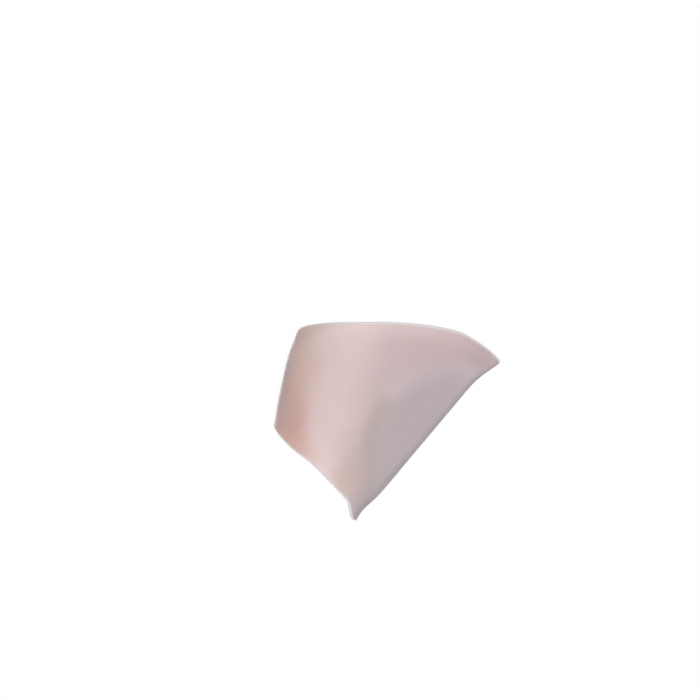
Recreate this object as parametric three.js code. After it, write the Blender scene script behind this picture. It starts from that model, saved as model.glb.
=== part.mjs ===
// Gel arch support: one moulded loop of soft translucent gel, with a thick arch pad in its floor.
// Millimetres, +Z up. The front opening faces -X, the rear opening +X, and the pad is on the -Y side.
// The origin lies in the middle of the hollow.
import * as THREE from "three";
import { LoftGeometry } from "three/addons/geometries/LoftGeometry.js";
import { mergeVertices } from "three/addons/utils/BufferGeometryUtils.js";

// Gel wall: even all round, thinner at the two rounded rims.
const WALL = 2.2;
const RIM_WALL = 1.5;
const RIM_TAPER = 0.12; // share of the length, from a rim, over which the wall thins

// The loop bends upwards to the rear, so its cross-sections stand in planes that fan out
// from one level axis above it. A section's lean is its angle from upright, towards +X.
const FAN_X = -19;
const FAN_Z = 88;
const FLOOR_Z = -34; // flat underside below the pad

// Lean of both rims round the loop. A whole turn of 4 runs from the middle of the floor to the
// far side at 1, the crest at 2, the pad side at 3 and back to the floor.
const RIMS = [
  { turn: 0, front: -8.2, rear: 30.6 },
  { turn: 0.25, front: -8.2, rear: 31.4 },
  { turn: 0.5, front: -8, rear: 33.2 },
  { turn: 1, front: -6.6, rear: 35.8 },
  { turn: 1.5, front: -8, rear: 33.4 },
  { turn: 2, front: -8.7, rear: 30.4 },
  { turn: 2.25, front: -9, rear: 33.3 },
  { turn: 2.5, front: -8.3, rear: 35.2 },
  { turn: 2.75, front: -6.5, rear: 36 },
  { turn: 3, front: -6.3, rear: 36.6 },
  { turn: 3.25, front: -7.4, rear: 35.8 },
  { turn: 3.5, front: -8.3, rear: 33.6 },
  { turn: 3.75, front: -8.4, rear: 31.5 },
];

// One row for each section. height is from the floor to the crest, padSide and farSide are the
// half widths, padAt and farAt the heights of the widest points, crest is the sideways place
// of the highest point, and rise lifts the floor off the flat next to the rims.
const SECTIONS = [
  { lean: -10, height: 55.9, padSide: 38.3, padAt: 10, farSide: 43.5, farAt: 16, crest: -9, rise: -0.4 },
  { lean: -6.5, height: 57.9, padSide: 37.4, padAt: 11, farSide: 41.8, farAt: 16, crest: -9, rise: 1.4 },
  { lean: -1.5, height: 60.9, padSide: 36.3, padAt: 12.5, farSide: 39.5, farAt: 16, crest: -9, rise: 0 },
  { lean: 11, height: 68.9, padSide: 34, padAt: 20, farSide: 35, farAt: 17, crest: -8, rise: 0 },
  { lean: 26.5, height: 82.1, padSide: 32.8, padAt: 38, farSide: 33, farAt: 24, crest: -5, rise: 0 },
  { lean: 32, height: 89, padSide: 32.5, padAt: 46, farSide: 32.5, farAt: 30, crest: -4, rise: -5 },
  { lean: 37, height: 95, padSide: 32.2, padAt: 53, farSide: 32.2, farAt: 36, crest: -3, rise: -9.4 },
];
const RISE_FADE = 16; // height up the sides at which a raised floor has no more effect

// Fullness of the outline's four quarters: 2 is an ellipse, and more is boxier.
const FULLNESS = { farLower: 2.6, farUpper: 1.9, padUpper: 2.1, padLower: 2.5 };
const FLOOR_CUT = 1; // depth cut flat off the bottom of the rounded outline

// Arch pad: a dome on the inside of the wall. Its spreads are half widths in degrees: along by
// lean, up the side and across the floor by direction from the core of a section.
const PAD_RISE = 14;
const PAD_AT = { along: 12.5, around: -135 };
const PAD_SPREAD = { along: 19.5, upSide: 36, acrossFloor: 66 };
const PAD_EDGE = 1.5; // 1 ends the dome in a crease, and more lets it run out softly
const CORE_HEIGHT = 0.45; // height of a section's core, as a share of the section's height

// Facets around the loop, from rim to rim, and round each rim.
const RING = 64;
const ALONG = 22;
const RIM = 4;

const { clamp, degToRad, lerp, radToDeg, smoothstep } = THREE.MathUtils;
const QUARTERS = ["farLower", "farUpper", "padUpper", "padLower"];

// A monotone cubic through one column of a table, so that equal rows stay level between them.
function columnCurve(table, along, key) {
  const at = table.map((row) => row[along]);
  const value = table.map((row) => row[key]);
  const secant = at.slice(1).map((edge, i) => (value[i + 1] - value[i]) / (edge - at[i]));
  const slope = at.map((_, i) => {
    const before = secant[Math.max(i - 1, 0)];
    const after = secant[Math.min(i, secant.length - 1)];
    return before * after <= 0 ? 0 : (2 * before * after) / (before + after);
  });
  return (place) => {
    const rowsBelow = at.filter((edge) => edge <= place).length;
    const i = clamp(rowsBelow - 1, 0, at.length - 2);
    const span = at[i + 1] - at[i];
    const t = (place - at[i]) / span;
    const fromStart = (1 - t) ** 2 * ((1 + 2 * t) * value[i] + t * span * slope[i]);
    const fromEnd = t ** 2 * ((3 - 2 * t) * value[i + 1] + (t - 1) * span * slope[i + 1]);
    return fromStart + fromEnd;
  };
}

const COLUMNS = Object.keys(SECTIONS[0]).filter((key) => key !== "lean");
const SECTION_CURVES = COLUMNS.map((key) => [key, columnCurve(SECTIONS, "lean", key)]);

function sectionAt(lean) {
  return Object.fromEntries(SECTION_CURVES.map(([key, curve]) => [key, curve(lean)]));
}

// The rims close on themselves, so their rows go on past both ends of the turn.
const RIM_LOOP = [-4, 0, 4].flatMap((shift) => RIMS.map((row) => ({ ...row, turn: row.turn + shift })));
const frontLean = columnCurve(RIM_LOOP, "turn", "front");
const rearLean = columnCurve(RIM_LOOP, "turn", "rear");

// A point of a section's outline in its own plane, as (sideways, height).
function outlinePoint(section, turn) {
  const quarter = Math.floor(turn) % 4;
  const angle = (turn % 1) * (Math.PI / 2);
  const onFarSide = quarter < 2;
  const isUpper = quarter === 1 || quarter === 2;
  const leavesMiddle = quarter % 2 === 0;
  const side = onFarSide ? section.farSide : -section.padSide;
  const sideAt = onFarSide ? section.farAt : section.padAt;
  const middle = isUpper ? section.crest : 0;
  const end = isUpper ? section.height : -FLOOR_CUT;
  const power = 2 / FULLNESS[QUARTERS[quarter]];
  const outwards = (leavesMiddle ? Math.sin(angle) : Math.cos(angle)) ** power;
  const endwards = (leavesMiddle ? Math.cos(angle) : Math.sin(angle)) ** power;
  const height = Math.max(lerp(sideAt, end, endwards), 0);
  const riseLeft = Math.max(1 - height / RISE_FADE, 0) ** 2;
  return new THREE.Vector2(lerp(middle, side, outwards), height + section.rise * riseLeft);
}

function placeInPlane(lean, point) {
  const angle = degToRad(lean);
  const radius = (FAN_Z - FLOOR_Z) / Math.cos(angle) - point.y;
  return new THREE.Vector3(FAN_X + radius * Math.sin(angle), point.x, FAN_Z - radius * Math.cos(angle));
}

function outerPoint(lean, turn) {
  return placeInPlane(lean, outlinePoint(sectionAt(lean), turn));
}

// A unit vector that points from the outer face straight into the wall.
function inwardNormal(lean, turn) {
  const turnStep = 0.03;
  const leanStep = 0.3;
  const around = outerPoint(lean, turn + turnStep).sub(outerPoint(lean, turn + 4 - turnStep));
  const along = outerPoint(lean + leanStep, turn).sub(outerPoint(lean - leanStep, turn));
  return along.cross(around).normalize();
}

// Extra thickness of the arch pad, for a direction seen from the section's core.
function padRise(lean, fromCore) {
  const around = radToDeg(Math.atan2(fromCore.y, fromCore.x)) - PAD_AT.around;
  const aroundShare = around / (around < 0 ? PAD_SPREAD.upSide : PAD_SPREAD.acrossFloor);
  const alongShare = (lean - PAD_AT.along) / PAD_SPREAD.along;
  return PAD_RISE * Math.max(1 - alongShare ** 2 - aroundShare ** 2, 0) ** PAD_EDGE;
}

// The wall's outer and inner face at one place. share runs from the front rim to the rear rim.
function wallAt(share, turn) {
  const lean = lerp(frontLean(turn), rearLean(turn), share);
  const section = sectionAt(lean);
  const fromCore = outlinePoint(section, turn).sub(new THREE.Vector2(0, CORE_HEIGHT * section.height));
  const core = placeInPlane(lean, new THREE.Vector2(0, CORE_HEIGHT * section.height));
  const outer = outerPoint(lean, turn);
  const fromRim = Math.min(share, 1 - share) / RIM_TAPER;
  const thickness = lerp(RIM_WALL, WALL, smoothstep(fromRim, 0, 1));
  const towardsCore = core.sub(outer).normalize();
  const inner = outer
    .clone()
    .addScaledVector(inwardNormal(lean, turn), thickness)
    .addScaledVector(towardsCore, padRise(lean, fromCore));
  return { outer, inner };
}

function ringOf(pointAt) {
  return Array.from({ length: RING }, (_, i) => pointAt((i * 4) / RING));
}

// Half-round rings that close the wall from its outer to its inner face beyond a rim.
// outwards is 1 at the rear rim and -1 at the front rim.
function rimRings(share, outwards) {
  const probe = 0.02;
  const angles = Array.from({ length: RIM - 1 }, (_, i) => (Math.PI * (i + 1)) / RIM);
  return angles.map((angle) =>
    ringOf((turn) => {
      const edge = wallAt(share, turn);
      const inside = wallAt(share - outwards * probe, turn);
      const middle = edge.outer.clone().lerp(edge.inner, 0.5);
      const middleInside = inside.outer.clone().lerp(inside.inner, 0.5);
      const across = edge.outer.clone().sub(middle);
      const onwards = middle.clone().sub(middleInside).setLength(across.length());
      return middle.addScaledVector(across, Math.cos(angle)).addScaledVector(onwards, Math.sin(angle));
    }),
  );
}

// The surface runs along the outside to the rear, round the rear rim, back along the inside
// and round the front rim to where it started.
function gelSleeve() {
  const shares = Array.from({ length: ALONG + 1 }, (_, i) => i / ALONG);
  const outerRings = shares.map((share) => ringOf((turn) => wallAt(share, turn).outer));
  const innerRings = shares.map((share) => ringOf((turn) => wallAt(share, turn).inner));
  const rings = [
    ...outerRings,
    ...rimRings(1, 1),
    ...innerRings.reverse(),
    ...rimRings(0, -1).reverse(),
    outerRings[0],
  ];
  const loft = new LoftGeometry(rings);
  const surface = new THREE.BufferGeometry();
  surface.setIndex(loft.index);
  surface.setAttribute("position", loft.getAttribute("position"));
  const geometry = mergeVertices(surface, 1e-3);
  geometry.computeVertexNormals();
  return geometry;
}

const gelMaterial = new THREE.MeshStandardMaterial({
  color: 0xd8c4c3,
  roughness: 0.45,
  metalness: 0,
  transparent: true,
  opacity: 0.85,
});

const sleeve = new THREE.Mesh(gelSleeve(), gelMaterial);
sleeve.name = "gel_sleeve";

const archSupport = new THREE.Group();
archSupport.name = "gel_arch_support";
archSupport.add(sleeve);

export default archSupport;
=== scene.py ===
import math

import bpy
import numpy as np
from mathutils import Matrix, Vector
from mathutils.bvhtree import BVHTree


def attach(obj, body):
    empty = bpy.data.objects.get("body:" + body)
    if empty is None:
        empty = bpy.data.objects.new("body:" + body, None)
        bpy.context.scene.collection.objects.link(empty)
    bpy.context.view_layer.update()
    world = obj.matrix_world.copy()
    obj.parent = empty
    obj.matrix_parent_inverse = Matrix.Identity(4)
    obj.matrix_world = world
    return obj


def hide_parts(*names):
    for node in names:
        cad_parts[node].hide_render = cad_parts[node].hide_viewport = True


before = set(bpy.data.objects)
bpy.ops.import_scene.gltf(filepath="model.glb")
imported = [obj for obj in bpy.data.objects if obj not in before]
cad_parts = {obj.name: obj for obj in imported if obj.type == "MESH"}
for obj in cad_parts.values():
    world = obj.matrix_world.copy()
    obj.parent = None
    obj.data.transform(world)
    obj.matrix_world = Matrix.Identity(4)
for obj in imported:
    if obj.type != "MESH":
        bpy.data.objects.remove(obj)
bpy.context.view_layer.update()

# Gel sleeve.
# One moulding of soft milky gel: a thin wall that closes into a loop, rounded thin rims at both
# openings, and a thick arch pad on the inside of the floor. It is cast in one mould with a matt face.
MERGE_DISTANCE = 1e-5
QUAD_ANGLE = math.radians(40)
SMOOTHING_LEVELS = 2

bpy.ops.object.select_all(action="DESELECT")
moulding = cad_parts["gel_sleeve"]
moulding.select_set(True)
bpy.context.view_layer.objects.active = moulding
bpy.ops.object.duplicate()
sleeve = bpy.context.active_object
sleeve.name = "gel_moulding"
sleeve.parent = None
sleeve.matrix_world = Matrix.Identity(4)
sleeve.data.materials.clear()
bpy.ops.object.mode_set(mode="EDIT")
bpy.ops.mesh.select_all(action="SELECT")
bpy.ops.mesh.remove_doubles(threshold=MERGE_DISTANCE)
bpy.ops.mesh.tris_convert_to_quads(face_threshold=QUAD_ANGLE, shape_threshold=QUAD_ANGLE)
bpy.ops.object.mode_set(mode="OBJECT")
smoothing = sleeve.modifiers.new("smoothing", "SUBSURF")
smoothing.levels = SMOOTHING_LEVELS
smoothing.render_levels = SMOOTHING_LEVELS
bpy.ops.object.modifier_apply(modifier=smoothing.name)
bpy.ops.object.shade_smooth()
mesh = sleeve.data


def keep_for_colour(name, values):
    """Store one number for each point of the surface, for the material to read."""
    mesh.attributes.new(name, "FLOAT", "POINT").data.foreach_set("value", values)


# How deep the gel is under each point of the surface, in metres. It is kept twice, once sharp and once
# spread sideways as light spreads in milky gel. Slanting rays are cast beside the straight one, because
# at a rim the straight one runs along the wall.
DEEPEST_GEL = 0.018
RAY_START = 1e-5
SLANTS = [(0, 0), (1, 0), (-1, 0), (0, 1), (0, -1)]
BLUR_ROUNDS = {"gel_depth": 6, "gel_depth_spread": 200}

wall_tree = BVHTree.FromObject(sleeve, bpy.context.evaluated_depsgraph_get())
depth = []
for vertex in mesh.vertices:
    inward = -vertex.normal
    across = inward.orthogonal().normalized()
    beside = inward.cross(across)
    rays = [(inward + across * i + beside * j).normalized() for i, j in SLANTS]
    start = vertex.co + inward * RAY_START
    hits = [wall_tree.ray_cast(start, ray, DEEPEST_GEL)[3] for ray in rays]
    depth.append(min(hit for hit in [*hits, DEEPEST_GEL] if hit is not None))
ends = np.array([edge.vertices[:] for edge in mesh.edges])
here, next_door = np.concatenate([ends, ends[:, ::-1]]).T
shares = np.bincount(here) + 1
for name, rounds in BLUR_ROUNDS.items():
    blurred = np.array(depth)
    for _ in range(rounds):
        blurred = (blurred + np.bincount(here, weights=blurred[next_door])) / shares
    keep_for_colour(name, blurred)

# How far each point of the surface faces the middle of the hollow, 1 inside the loop and -1 outside,
# and how far it faces down.
facing_in = [-Vector((0, *vertex.co.yz)).normalized().dot(vertex.normal) for vertex in mesh.vertices]
keep_for_colour("facing_in", facing_in)
facing_down = [-vertex.normal.z for vertex in mesh.vertices]
keep_for_colour("facing_down", facing_down)


class Shade:
    """A shader socket: arithmetic on it adds Math nodes, and node() adds any other node."""

    def __init__(self, tree, socket=None):
        self.tree = tree
        self.socket = socket

    def node(self, kind, settings=None, sockets=None, output=0):
        made = self.tree.nodes.new(kind)
        for name, value in (settings or {}).items():
            setattr(made, name, value)
        for name, value in (sockets or {}).items():
            if isinstance(value, Shade):
                self.tree.links.new(value.socket, made.inputs[name])
            else:
                made.inputs[name].default_value = value
        return Shade(self.tree, made.outputs[output])

    def feed(self, shader, name):
        """Link this socket to the named socket of a shader."""
        self.tree.links.new(self.socket, shader.inputs[name])

    def axes(self):
        """A vector's three parts."""
        return [self.node("ShaderNodeSeparateXYZ", {}, {0: self}, output=name) for name in "XYZ"]

    def mix(self, start, end):
        """The colour from start to end, by this value from 0 to 1."""
        return self.node("ShaderNodeMix", {"data_type": "RGBA"}, {0: self, 6: start, 7: end}, output=2)

    def between(self, low, high):
        """0 below low, 1 above high, and smooth in between."""
        settings = {"interpolation_type": "SMOOTHSTEP"}
        return self.node("ShaderNodeMapRange", settings, {"Value": self, 1: low, 2: high})

    def calculate(self, operation, first, second):
        return self.node("ShaderNodeMath", {"operation": operation}, {0: first, 1: second})

    def __add__(self, other):
        return self.calculate("ADD", self, other)

    def __radd__(self, other):
        return self.calculate("ADD", other, self)

    def __sub__(self, other):
        return self.calculate("SUBTRACT", self, other)

    def __rsub__(self, other):
        return self.calculate("SUBTRACT", other, self)

    def __mul__(self, other):
        return self.calculate("MULTIPLY", self, other)

    def __rmul__(self, other):
        return self.calculate("MULTIPLY", other, self)


gel = bpy.data.materials.new("milky_gel")
gel.use_nodes = True
gel_shader = gel.node_tree.nodes["Principled BSDF"]
shade = Shade(gel.node_tree)
place = shade.node("ShaderNodeTexCoord", output="Object")
x, y, z = place.axes()


def kept(name):
    return shade.node("ShaderNodeAttribute", {"attribute_name": name}, output="Fac")


def noise(scale, detail):
    sockets = {"Vector": place, "Scale": scale, "Detail": detail}
    return shade.node("ShaderNodeTexNoise", {}, sockets, output="Fac")


depth_here = kept("gel_depth")
depth_spread = kept("gel_depth_spread")

# Ways over the sleeve, as distances in metres. Soft noise makes the tints along them end unevenly.
PATCH_NOISE = {"scale": 70.0, "detail": 2.0}

uneven = noise(**PATCH_NOISE) - 0.5
towards_crest = 0.8 * z - 0.52 * x + 0.012 * uneven
towards_underside = 0.49 * x - 0.89 * z + 0.008 * uneven
towards_rear = x + 0.03 * uneven

# Thin wall up to the crest: pale in the middle, the gel's own pale colour with a painted broad highlight,
# warm towards the crest and at the front rim, and painted shade along the crest and over its top.
# Each band says where a tint sets in and where it has taken over.
# The pale tint is the gel's own pale colour with a painted broad highlight in the middle of the wall.
PALE_AND_HIGHLIGHT_TINT = (0.78, 0.63, 0.625, 1)
ROSY_TINT = (0.66, 0.445, 0.395, 1)
TAN_TINT = (0.71, 0.54, 0.49, 1)
# The edge tint is painted shade along the crest and over its top.
CREST_SHADE_TINT = (0.595, 0.475, 0.47, 1)
FAR_TINT = (0.79, 0.65, 0.635, 1)
ROSY_TO_TAN = (-0.02, 0.002)
CREST_BAND = (0.012, 0.026)
CREST_SHADE_BAND = (0.024, 0.032)
OVER_THE_CREST = (-0.013, 0.012)
FRONT_BAND = (-0.029, -0.02)
FRONT_HEIGHTS = (-0.008, 0.004)
FRONT_STRENGTH = 0.5
TOP_SHADE_BAND = (0.036, 0.042)
TOP_SHADE_STRENGTH = 0.6

pad_side = 1 - y.between(*OVER_THE_CREST)
crest_tint = towards_rear.between(*ROSY_TO_TAN).mix(ROSY_TINT, TAN_TINT)
# Painted shade along the crest.
crest_tint = towards_crest.between(*CREST_SHADE_BAND).mix(crest_tint, CREST_SHADE_TINT)
crest_tint = pad_side.mix(FAR_TINT, crest_tint)
tint = towards_crest.between(*CREST_BAND).mix(PALE_AND_HIGHLIGHT_TINT, crest_tint)
front_share = pad_side * (1 - (x - 0.2 * z).between(*FRONT_BAND)) * z.between(*FRONT_HEIGHTS)
tint = (FRONT_STRENGTH * front_share).mix(tint, ROSY_TINT)
# Painted shade over the top of the crest.
top_shade_share = pad_side * (z + 0.4 * x).between(*TOP_SHADE_BAND)
tint = (TOP_SHADE_STRENGTH * top_shade_share).mix(tint, CREST_SHADE_TINT)

# Lower wall: painted shade where the wall turns down away from the light, beige in front and mauve to the
# rear, and deeper painted shade in the low rear corner.
BEIGE_SHADE_TINT = (0.61, 0.5, 0.48, 1)
MAUVE_SHADE_TINT = (0.63, 0.508, 0.518, 1)
CORNER_SHADE_TINT = (0.56, 0.455, 0.472, 1)
BEIGE_TO_MAUVE = (-0.01, 0.02)
LOW_SHADE_BAND = (-0.011, 0.014)
FLOOR_BAND = (-0.018, -0.008)
CORNER_SHADE_BAND = (0.036, 0.053)

# Painted shade on the lower wall, which turns down away from the light.
low_shade_tint = towards_rear.between(*BEIGE_TO_MAUVE).mix(BEIGE_SHADE_TINT, MAUVE_SHADE_TINT)
tint = towards_underside.between(*LOW_SHADE_BAND).mix(tint, low_shade_tint)
tint = z.between(*FLOOR_BAND).mix(low_shade_tint, tint)
# Deeper painted shade in the low rear corner.
tint = towards_underside.between(*CORNER_SHADE_BAND).mix(tint, CORNER_SHADE_TINT)

# Arch pad: the deeper the gel, the more lilac, with a brown or slate skirt where it begins, and painted
# shade where it turns under.
BROWN_TINT = (0.55, 0.455, 0.435, 1)
SLATE_TINT = (0.645, 0.55, 0.575, 1)
LILAC_TINT = (0.548, 0.464, 0.484, 1)
TIP_TINT = (0.525, 0.46, 0.472, 1)
# Painted shade for the underside, which faces down away from the light.
UNDERSIDE_PAINTED_SHADE = (0.42, 0.355, 0.37, 1)
BROWN_TO_SLATE = (0, 0.022)
SKIRT_DEPTHS = (0.0035, 0.005)
REAR_SKIRT_DEPTH = 0.0006
PAD_DEPTHS = (0.003, 0.008)
TIP_BAND = (-0.038, -0.029)
TURN_UNDER = (0.85, 0.98)

rear_share = towards_rear.between(*BROWN_TO_SLATE)
skirt_tint = rear_share.mix(BROWN_TINT, SLATE_TINT)
skirt_depth = depth_spread + REAR_SKIRT_DEPTH * rear_share
tint = skirt_depth.between(*SKIRT_DEPTHS).mix(tint, skirt_tint)
pad_share = depth_here.between(*PAD_DEPTHS)
tint = pad_share.mix(tint, LILAC_TINT)
tint = (z + 0.3 * x).between(*TIP_BAND).mix(TIP_TINT, tint)
# Painted shade where the pad turns under.
tint = kept("facing_down").between(*TURN_UNDER).mix(tint, UNDERSIDE_PAINTED_SHADE)

# The inside is plain milky gel. The thin rims are the lightest: pale thin gel with a painted highlight on
# the rounded edge, and a band of painted light near the rear rim.
INSIDE_TINT = (0.84, 0.73, 0.725, 1)
INSIDE_PAD_TINT = (0.84, 0.745, 0.755, 1)
RIM_AND_HIGHLIGHT_TINT = (0.86, 0.76, 0.76, 1)
TURN_INSIDE = (-0.2, 0.2)
NEAR_RIM_DEPTHS = (0.0016, 0.0021)
NEAR_RIM_LIGHT_STRENGTH = 0.12
RIM_DEPTHS = (0.0011, 0.0014)

# Painted light: a faint pale band near the rear rim.
near_rear_rim_light = rear_share * (1 - depth_spread.between(*NEAR_RIM_DEPTHS))
tint = (NEAR_RIM_LIGHT_STRENGTH * near_rear_rim_light).mix(tint, RIM_AND_HIGHLIGHT_TINT)
inside_tint = pad_share.mix(INSIDE_TINT, INSIDE_PAD_TINT)
tint = kept("facing_in").between(*TURN_INSIDE).mix(tint, inside_tint)
# The rims: pale thin gel with a painted highlight on the rounded edge.
rim_share = 1 - depth_here.between(*RIM_DEPTHS)
tint = rim_share.mix(tint, RIM_AND_HIGHLIGHT_TINT)
tint.feed(gel_shader, "Base Color")

# Finish: a satin, slightly wavy face with fine grain. Light scatters inside the gel and passes through
# the thin wall a little.
WALL_ALPHA = 0.9
PAD_ALPHA = 0.98
WAVE_NOISE = {"scale": 60.0, "detail": 1.0}
GRAIN_NOISE = {"scale": 1500.0, "detail": 2.0}
GRAIN_SHARE = 0.1
RELIEF = {"Strength": 0.6, "Distance": 0.0004}
GEL_FINISH = {
    "Roughness": 0.46,
    "IOR": 1.41,
    "Subsurface Weight": 1.0,
    "Subsurface Radius": (1.0, 0.88, 0.84),
    "Subsurface Scale": 0.005,
    "Sheen Weight": 0.08,
    "Sheen Roughness": 0.4,
    "Sheen Tint": (0.8, 0.78, 0.82, 1),
}

relief = noise(**WAVE_NOISE) + GRAIN_SHARE * noise(**GRAIN_NOISE)
bump = shade.node("ShaderNodeBump", {}, {**RELIEF, "Height": relief}, output="Normal")
bump.feed(gel_shader, "Normal")
alpha = WALL_ALPHA + (PAD_ALPHA - WALL_ALPHA) * pad_share
alpha.feed(gel_shader, "Alpha")
for name, value in GEL_FINISH.items():
    gel_shader.inputs[name].default_value = value
mesh.materials.append(gel)

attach(sleeve, "root")
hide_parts("gel_sleeve")

# Floor.
# A plain pale studio floor, far enough below for the sleeve to be held clear of it. Its face has a
# painted glow, though it is no lamp, so it sends soft light up, and it fades out into the white
# surroundings.
FLOOR_DROP = 0.42
FLOOR_SIZE = 1.4
FADE_START = 0.25 * FLOOR_SIZE
FADE_END = 0.5 * FLOOR_SIZE
PAPER_FINISH_AND_GLOW = {
    "Base Color": (0.9, 0.9, 0.9, 1),
    "Roughness": 0.8,
    # Painted glow: the floor emits soft light though it is no lamp.
    "Emission Color": (1, 1, 1, 1),
    "Emission Strength": 0.25,
}

bpy.ops.mesh.primitive_plane_add(size=FLOOR_SIZE, location=(0, 0, -FLOOR_DROP))
floor = bpy.context.active_object
floor.name = "studio_floor"
paper = bpy.data.materials.new("pale_floor")
paper.use_nodes = True
paper_shader = paper.node_tree.nodes["Principled BSDF"]
for name, value in PAPER_FINISH_AND_GLOW.items():
    paper_shader.inputs[name].default_value = value
paper_shade = Shade(paper.node_tree)
paper_place = paper_shade.node("ShaderNodeTexCoord", output="Object")
from_middle = paper_place.node("ShaderNodeVectorMath", {"operation": "LENGTH"}, {0: paper_place}, "Value")
floor_alpha = 1 - from_middle.between(FADE_START, FADE_END)
floor_alpha.feed(paper_shader, "Alpha")
floor.data.materials.append(paper)

# Studio light.
# White surroundings, which light the sleeve softly and are pure white as a backdrop, and two large
# softboxes about level with the sleeve, one on the pad side and one on the far side.
SURROUND_STRENGTH = 0.4
SOFTBOX_DISTANCE = 0.95
SOFTBOX_SIZE = 0.6
SOFTBOX_POWER = 5.0
SOFTBOX_AIMS = {"pad_side_softbox": (-0.05, -0.97, 0.22), "far_side_softbox": (-0.05, 0.97, 0.22)}

world = bpy.data.worlds.new("studio")
bpy.context.scene.world = world
world.use_nodes = True
background = world.node_tree.nodes["Background"]
background.inputs["Color"].default_value = (1, 1, 1, 1)
as_backdrop = Shade(world.node_tree).node("ShaderNodeLightPath", output="Is Camera Ray")
strength = as_backdrop * (1 - SURROUND_STRENGTH) + SURROUND_STRENGTH
strength.feed(background, "Strength")

for name, aim in SOFTBOX_AIMS.items():
    softbox = bpy.data.lights.new(name, "AREA")
    softbox.energy = SOFTBOX_POWER
    softbox.size = SOFTBOX_SIZE
    stand = bpy.data.objects.new(name, softbox)
    stand.location = Vector(aim).normalized() * SOFTBOX_DISTANCE
    stand.rotation_euler = stand.location.to_track_quat("Z", "Y").to_euler()
    stand.visible_camera = False
    bpy.context.scene.collection.objects.link(stand)

# Camera.
# It looks at the pad side almost level, and is rolled so that the rear opening is at the top.
LENS = 100.0
SENSOR = 36.0
NEAREST_SEEN = 0.01
CAMERA_DISTANCE = 0.8732
CAMERA_TARGET = Vector((0.0179, 0.0, 0.0175))
CAMERA_AZIMUTH = math.radians(0.23)
CAMERA_ELEVATION = math.radians(-1.34)
CAMERA_ROLL = math.radians(-49.73)

lens = bpy.data.cameras.new("camera")
lens.lens = LENS
lens.sensor_width = SENSOR
lens.clip_start = NEAREST_SEEN
camera = bpy.data.objects.new("camera", lens)
towards_camera = Vector((0, -math.cos(CAMERA_ELEVATION), math.sin(CAMERA_ELEVATION)))
towards_camera.rotate(Matrix.Rotation(CAMERA_AZIMUTH, 3, "Z"))
level = towards_camera.to_track_quat("Z", "Y").to_matrix().to_4x4()
camera.matrix_world = (
    Matrix.Translation(CAMERA_TARGET + towards_camera * CAMERA_DISTANCE)
    @ level
    @ Matrix.Rotation(CAMERA_ROLL, 4, "Z")
)
bpy.context.scene.collection.objects.link(camera)
bpy.context.scene.camera = camera
bpy.context.scene.view_settings.view_transform = "Standard"
